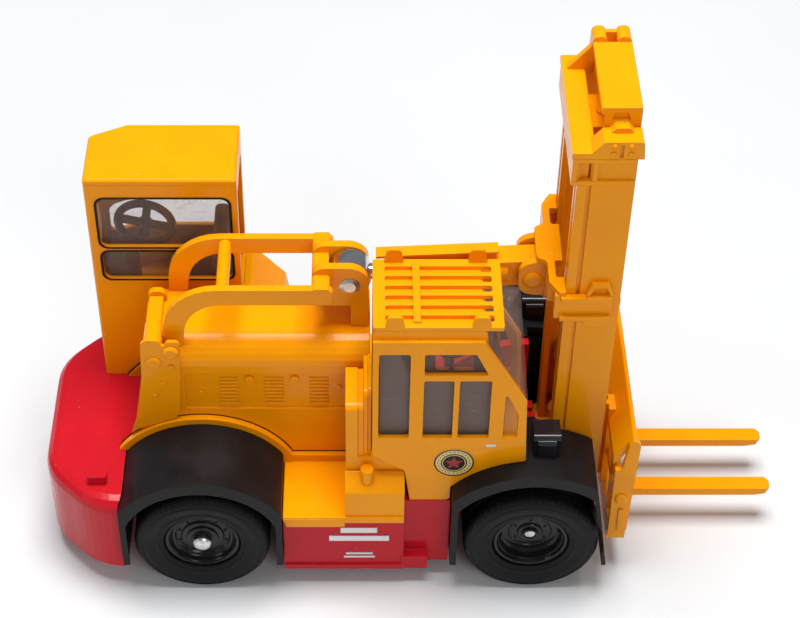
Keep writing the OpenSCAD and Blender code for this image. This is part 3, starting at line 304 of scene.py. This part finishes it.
SLOT_MATERIALS = {
    "yellow_paint": YELLOW, "red_paint": RED, "base_black": BASE, "fender_black": FENDER,
    "lamp_black": LAMP, "hub_black": HUB, "tyre_rubber": TYRE, "steel": STEEL, "chrome_rod": CHROME,
    "clear_glazing": GLAZING, "lens_clear": LENS, "interior_plastic": INTERIOR,
    "steering_black": STEERING, "badge_print": CREAM, "white_print": PRINT, "seal_black": PRINT_AND_SHADE_BLACK}

for part in frame["record"]["subparts"]:
    mesh = CAD[part["node"]].data
    mesh.materials.clear()
    mesh.materials.append(SLOT_MATERIALS[part["material_slot"]])


# ---------------------------------------------------------------- mesh helpers

def place(name, data):
    """A new object in the scene."""
    obj = bpy.data.objects.new(name, data)
    bpy.context.scene.collection.objects.link(obj)
    return obj


def piece(name, bm, material, body, smooth_angle=35):
    """A new object from a bmesh, riding on a CAD body."""
    mesh = bpy.data.meshes.new(name)
    bmesh.ops.recalc_face_normals(bm, faces=bm.faces)
    bm.to_mesh(mesh)
    bm.free()
    obj = place(name, mesh)
    mesh.materials.append(material)
    for polygon in mesh.polygons:
        polygon.use_smooth = True
    mesh.set_sharp_from_angle(angle=math.radians(smooth_angle))
    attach(obj, body)
    return obj


def skin(bm, rings):
    """Faces between each ring of vertices and the next one."""
    for ring, after in zip(rings, rings[1:]):
        for j in range(len(ring)):
            k = (j + 1) % len(ring)
            bm.faces.new((ring[j], ring[k], after[k], after[j]))


def lathe(bm, profile, at, axis, facets):
    """Turns a closed profile of (radius, distance along axis) points about the axis through at."""
    side = axis.orthogonal().normalized()
    rings = []
    for i in range(facets):
        out = Matrix.Rotation(2 * math.pi * i / facets, 3, axis) @ side
        rings.append([bm.verts.new(at + out * r + axis * h) for r, h in profile])
    skin(bm, rings + rings[:1])


# ---------------------------------------------------------------- wheels

# In mm: the radius where the rim meets the tyre, and the depth of the tread's notches
RIM_RADIUS = 7.4
NOTCH = 0.12
TREAD_BLOCKS = 60
# Places across one tread block, as shares of its pitch, each with 0 on the block and 1 in the notch
BLOCK_STATIONS = ((0, 0), (0.25, 0), (0.5, 0), (0.72, 0), (0.78, 1), (0.94, 1))

# Half of a tyre's section, in mm: radius, distance in from the outer face, and share of the notch cut there
BEAD = [(RIM_RADIUS, 1.0, 0), (7.75, 0.72, 0), (8.15, 0.62, 0), (8.3, 0.4, 0), (8.75, 0.34, 0),
        (8.9, 0.46, 0)]
SIDE_WALL = [(9.3, 0.4, 0), (10.1, 0.12, 0), (10.7, 0.02, 0), (11.1, 0.06, 0), (11.25, 0.2, 0),
             (11.6, 0.26, 0), (11.75, 0.14, 0), (12.1, 0.28, 0)]
SHOULDER = [(12.5, 0.62, 0.6), (12.82, 1.05, 1), (12.97, 1.6, 1), (13.0, 2.6, 1), (12.97, 3.3, 0.7)]
GROOVE = [(12.85, 3.6, 0), (12.6, 3.7, 0), (12.6, 4.15, 0), (12.85, 4.25, 0), (12.98, 4.45, 0),
          (13.0, 5.3, 0)]
TYRE_HALF = BEAD + SIDE_WALL + SHOULDER + GROOVE

# Faces of the hubs from the axle out, in mm: radius, and depth in from the tyre's outer face
RIM_LIP = [(6.5, 0.72), (6.75, 0.62), (7.0, 0.66), (7.15, 0.85), (RIM_RADIUS, 1.0)]
FRONT_FACE = [
    (1.25, 3.2), (0.9, 3.2), (0.9, 2.55), (1.15, 2.2), (1.5, 2.2), (1.6, 2.35), (1.6, 2.7), (2.3, 2.7),
    (2.45, 2.85), (2.45, 3.15), (3.9, 3.2), (4.05, 3.05), (4.2, 3.2), (5.3, 3.15), (5.7, 2.85), (5.95, 2.2),
    (6.05, 1.5), (6.2, 1.4), (6.35, 1.0), *RIM_LIP]
REAR_FACE = [
    (1.25, 1.02), (1.95, 1.02), (2.08, 1.1), (2.15, 1.35), (2.85, 1.38), (3.0, 1.46), (3.1, 1.85), (3.9, 1.9),
    (4.02, 1.98), (4.15, 2.35), (5.05, 2.4), (5.2, 2.25), (5.35, 2.05), (5.75, 2.05), (5.95, 1.9),
    (6.15, 1.45), (6.3, 0.95), *RIM_LIP]

# The recess at a hub's back, in mm: its depth, and the radii of its floor and mouth at the boss and the rim
RECESS = 2.0
BOSS_MOUTH, BOSS_FLOOR = 2.4, 2.6
RIM_FLOOR, RIM_MOUTH = 6.3, 6.5

# Moulded nuts, in mm: the radius of their circle, and each one's radius, depth in and height
FRONT_NUTS = {"count": 6, "circle": 3.25, "radius": 0.26, "seat": 3.18, "height": 0.25}
REAR_NUTS = {"count": 10, "circle": 4.6, "radius": 0.27, "seat": 2.38, "height": 0.3}
# Radius of the hole in a nut's middle, in mm: a point, but one that the lathe can turn
NUT_MIDDLE = 0.001

# Facets round a turned hub and a nut
HUB_FACETS = 96
NUT_FACETS = 12


def tyre_pair(name, node, body):
    """Both tyres of an axle: ringed side walls and a shoulder notched between the tread blocks."""
    x, z = axle_of(node)
    width = width_of_one(node)
    half = [(r * MM, d * MM, share * NOTCH * MM) for r, d, share in TYRE_HALF]
    section = half + [(r, width - d, notch) for r, d, notch in reversed(half)]
    bm = bmesh.new()
    for side, face in outer_faces(node):
        rings = []
        for block in range(TREAD_BLOCKS):
            for share, cut in BLOCK_STATIONS:
                a = 2 * math.pi * (block + share) / TREAD_BLOCKS
                rings.append([bm.verts.new((x + (r - cut * notch) * math.cos(a), face - side * d,
                                            z + (r - cut * notch) * math.sin(a)))
                              for r, d, notch in section])
        skin(bm, rings + rings[:1])
    tyres = piece(name, bm, TYRE, body, smooth_angle=40)
    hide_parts(node)


def nut(bm, at, inward, radius, height):
    """A moulded nut with a rounded corner, standing out from the hub's face."""
    profile = [(NUT_MIDDLE, 0), (radius, 0), (radius * 0.9, -height * 0.7), (radius * 0.5, -height),
               (NUT_MIDDLE, -height)]
    lathe(bm, [(r * MM, h * MM) for r, h in profile], at, inward, NUT_FACETS)


def hub_pair(name, node, body, face_profile, nuts):
    """Both hubs of an axle: a lathed face with its rings, a rim that holds the tyre, and moulded nuts."""
    x, z = axle_of(node)
    axle_lo, axle_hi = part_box("front_axle")
    bore = (axle_hi.x - axle_lo.x) / 2
    depth = width_of_one(node)
    floor = depth - RECESS * MM
    front = [(r * MM, d * MM) for r, d in face_profile]
    back = [(RIM_RADIUS * MM, depth), (RIM_MOUTH * MM, depth), (RIM_FLOOR * MM, floor),
            (BOSS_FLOOR * MM, floor), (BOSS_MOUTH * MM, depth), (bore, depth)]
    bm = bmesh.new()
    for side, face in outer_faces(node):
        at = Vector((x, face, z))
        inward = Vector((0, -side, 0))
        lathe(bm, front + back, at, inward, HUB_FACETS)
        for i in range(nuts["count"]):
            a = 2 * math.pi * (i + 0.5) / nuts["count"]
            around = Vector((math.cos(a), 0, math.sin(a))) * nuts["circle"]
            nut(bm, at + (around + inward * nuts["seat"]) * MM, inward, nuts["radius"], nuts["height"])
    hubs = piece(name, bm, HUB, body, smooth_angle=30)
    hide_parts(node)


for axle, face_profile, nuts in (("front", FRONT_FACE, FRONT_NUTS), ("rear", REAR_FACE, REAR_NUTS)):
    tyre_pair(axle + "_tyres_treaded", axle + "_tyres", axle + "_wheels")
    hub_pair(axle + "_hubs_turned", axle + "_hubs", axle + "_wheels", face_profile, nuts)


# ---------------------------------------------------------------- door badge

# How far each print stands out, and the share of that for the thin line
PRINT_STEP = 0.03 * MM
LINE_STEP = 0.6
BEADS = 24
# Radii as shares of the cream disc's
OUTER_RING = 0.93
BEAD_CIRCLE = 0.8
BEAD_RADIUS = 0.035
DARK_DISC = 0.66
LINE_OUTER, LINE_INNER = 0.6, 0.55
STAR_RADIUS = 0.48
# Radius of the star's inner corners as a share of its points'
STAR_WAIST = 0.45
STAR_POINTS = 5
# Radius of the hole that a plain disc keeps, which is too small to see
DISC_MIDDLE = 0.02 * MM
DISC_FACETS = 64
BEAD_FACETS = 10


def disc(bm, at, radius, y0, y1, inner=DISC_MIDDLE, facets=DISC_FACETS):
    """A flat disc or ring facing -Y, from y0 out to y1."""
    lathe(bm, [(inner, 0), (radius, 0), (radius, y1 - y0), (inner, y1 - y0)], Vector((at.x, y0, at.z)),
          Vector((0, 1, 0)), facets)


def star(bm, at, radius, y0, y1):
    """A plain star facing -Y, from y0 out to y1."""
    corners = []
    for i in range(2 * STAR_POINTS):
        r = radius if i % 2 == 0 else radius * STAR_WAIST
        a = math.pi / 2 + i * math.pi / STAR_POINTS
        corners.append((at.x + r * math.cos(a), at.z + r * math.sin(a)))
    back = [bm.verts.new((x, y0, z)) for x, z in corners]
    front = [bm.verts.new((x, y1, z)) for x, z in corners]
    bm.faces.new(back)
    bm.faces.new(list(reversed(front)))
    skin(bm, [back, front])


def badge():
    """A generic roundel: dark rings on the cream disc, beads round it and a plain star in the middle."""
    lo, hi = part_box("door_badge")
    at = mid("door_badge")
    radius = (hi.x - lo.x) / 2
    disc_face = lo.y
    ring_face = disc_face - PRINT_STEP
    dark = bmesh.new()
    disc(dark, at, radius, disc_face, ring_face, radius * OUTER_RING)
    disc(dark, at, radius * DARK_DISC, disc_face, ring_face)
    for i in range(BEADS):
        a = 2 * math.pi * i / BEADS
        spot = at + Vector((math.cos(a), 0, math.sin(a))) * radius * BEAD_CIRCLE
        disc(dark, spot, radius * BEAD_RADIUS, disc_face, ring_face, facets=BEAD_FACETS)
    piece("badge_rings", dark, PRINT_AND_SHADE_BLACK, "chassis")
    cream = bmesh.new()
    line_face = ring_face - PRINT_STEP * LINE_STEP
    disc(cream, at, radius * LINE_OUTER, ring_face, line_face, radius * LINE_INNER)
    piece("badge_inner_line", cream, CREAM, "chassis")
    emblem = bmesh.new()
    star(emblem, at, radius * STAR_RADIUS, ring_face, ring_face - PRINT_STEP)
    piece("badge_star", emblem, BADGE_RED, "chassis")


badge()


# ---------------------------------------------------------------- painted shadow in the casting seams

SEAM_GAP = 0.1 * MM
# Where a painted seam shadow begins, in from the hood's rear end
SHADOW_LINE_START = 0.6 * MM
SHADOW_LINE_WIDTH = 0.3 * MM
SHADOW_LINE_DEPTH = 0.05 * MM
SHADOW_LINE_STEPS = 28


def shadow_line(name, path, width, y0, y1):
    """A thin dark line of painted shadow that follows a path of (x, z) points on a side face, from y0 out to
    y1.
    """
    bm = bmesh.new()
    rows = []
    for i, (x, z) in enumerate(path):
        before, after = Vector(path[max(i - 1, 0)]), Vector(path[min(i + 1, len(path) - 1)])
        along = (after - before).normalized()
        side = Vector((-along.y, along.x)) * width / 2
        rows.append([bm.verts.new((x + sign * side.x, y, z + sign * side.y))
                     for sign, y in ((-1, y0), (1, y0), (1, y1), (-1, y1))])
    skin(bm, rows)
    bm.faces.new(rows[0])
    bm.faces.new(list(reversed(rows[-1])))
    piece(name, bm, PRINT_AND_SHADE_BLACK, "chassis")


def seam_shadows_below_hood():
    """Painted shadow along the joint below the hood: along the deck, over the wheel arch, then level to the
    cab.
    """
    hood_lo, hood_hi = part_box("hood")
    axle_x, axle_z = axle_of("rear_tyres")
    arch_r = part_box("side_casting_right")[1].z - axle_z + SEAM_GAP
    deck_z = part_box("rear_cab_shell")[0].z + SEAM_GAP / 2
    level_z = hood_lo.z - SEAM_GAP
    start = -math.acos((deck_z - axle_z) / arch_r)
    end = math.acos((level_z - axle_z) / arch_r)
    turns = [start + (end - start) * i / SHADOW_LINE_STEPS for i in range(SHADOW_LINE_STEPS + 1)]
    arc = [(axle_x + arch_r * math.sin(a), axle_z + arch_r * math.cos(a)) for a in turns]
    path = [(hood_lo.x + SHADOW_LINE_START, deck_z), *arc, (hood_hi.x, level_z)]
    for side, face in (("right", hood_lo.y), ("left", hood_hi.y)):
        out = math.copysign(SHADOW_LINE_DEPTH, face)
        shadow_line("hood_seam_shadow_" + side, path, SHADOW_LINE_WIDTH, face - out, face + out)


seam_shadows_below_hood()


# ---------------------------------------------------------------- stage, light and camera

# Half of the floor's side, in metres
FLOOR_HALF = 3.0
SKY = (0.95, 0.97, 1)
SKY_STRENGTH = 0.2
LIGHT_TARGET = Vector((0, 0, 0.04))
# Name, place in metres, width and height in metres, and power in watts
LIGHTS = (("key", (0.0, 0.06, 0.85), (0.45, 0.35), 8.4),
          ("front", (0.25, -0.6, 0.55), (0.35, 0.25), 1.2),
          ("side", (-0.6, -0.25, 0.4), (0.3, 0.3), 0.5))
CAMERA_PLACE = (-0.0111, -0.260, 0.3068)
# Degrees up from looking straight down
CAMERA_TILT = 45.5
# How far the picture is moved sideways on the sensor, as a share of its width
CAMERA_SHIFT = 0.054
# In mm, as cameras give them
LENS_LENGTH = 87.75
SENSOR_WIDTH = 36
# The nearest that the camera sees, in metres
NEAR_CLIP = 0.01


def soft_floor():
    """A wide pale floor, faintly uneven in tone."""
    tree = MaterialTree("pale_floor")
    tone = tree.ramp(tree.noise(cells=6, detail=3), 0.3, 0.7)
    tree.set(Base_Color=tree.mix(tone, (0.7, 0.71, 0.72), (0.74, 0.75, 0.76)), Roughness=0.7)
    mesh = bpy.data.meshes.new("floor")
    corners = [(x * FLOOR_HALF, y * FLOOR_HALF, 0) for x, y in ((-1, -1), (1, -1), (1, 1), (-1, 1))]
    mesh.from_pydata(corners, [], [(0, 1, 2, 3)])
    mesh.materials.append(tree.material)
    place("floor", mesh)


def studio():
    """A dim sky and soft area lights aimed at the toy, shown with the plain colour transform."""
    world = bpy.data.worlds.new("studio")
    world.use_nodes = True
    background = world.node_tree.nodes["Background"]
    background.inputs["Color"].default_value = (*SKY, 1)
    background.inputs["Strength"].default_value = SKY_STRENGTH
    bpy.context.scene.world = world
    bpy.context.scene.view_settings.view_transform = "Standard"
    for name, at, size, power in LIGHTS:
        data = bpy.data.lights.new(name, "AREA")
        data.shape = "RECTANGLE"
        data.size, data.size_y = size
        data.energy = power
        light = place(name, data)
        light.location = at
        light.rotation_euler = (LIGHT_TARGET - Vector(at)).to_track_quat("-Z", "Y").to_euler()


def camera():
    """The photograph's view: down on the toy's right side through a long lens."""
    data = bpy.data.cameras.new("camera")
    data.sensor_width = SENSOR_WIDTH
    data.lens = LENS_LENGTH
    data.shift_x = CAMERA_SHIFT
    data.dof.use_dof = False
    data.clip_start = NEAR_CLIP
    eye = place("camera", data)
    eye.location = CAMERA_PLACE
    eye.rotation_euler = (math.radians(CAMERA_TILT), 0, 0)
    bpy.context.scene.camera = eye


soft_floor()
studio()
camera()
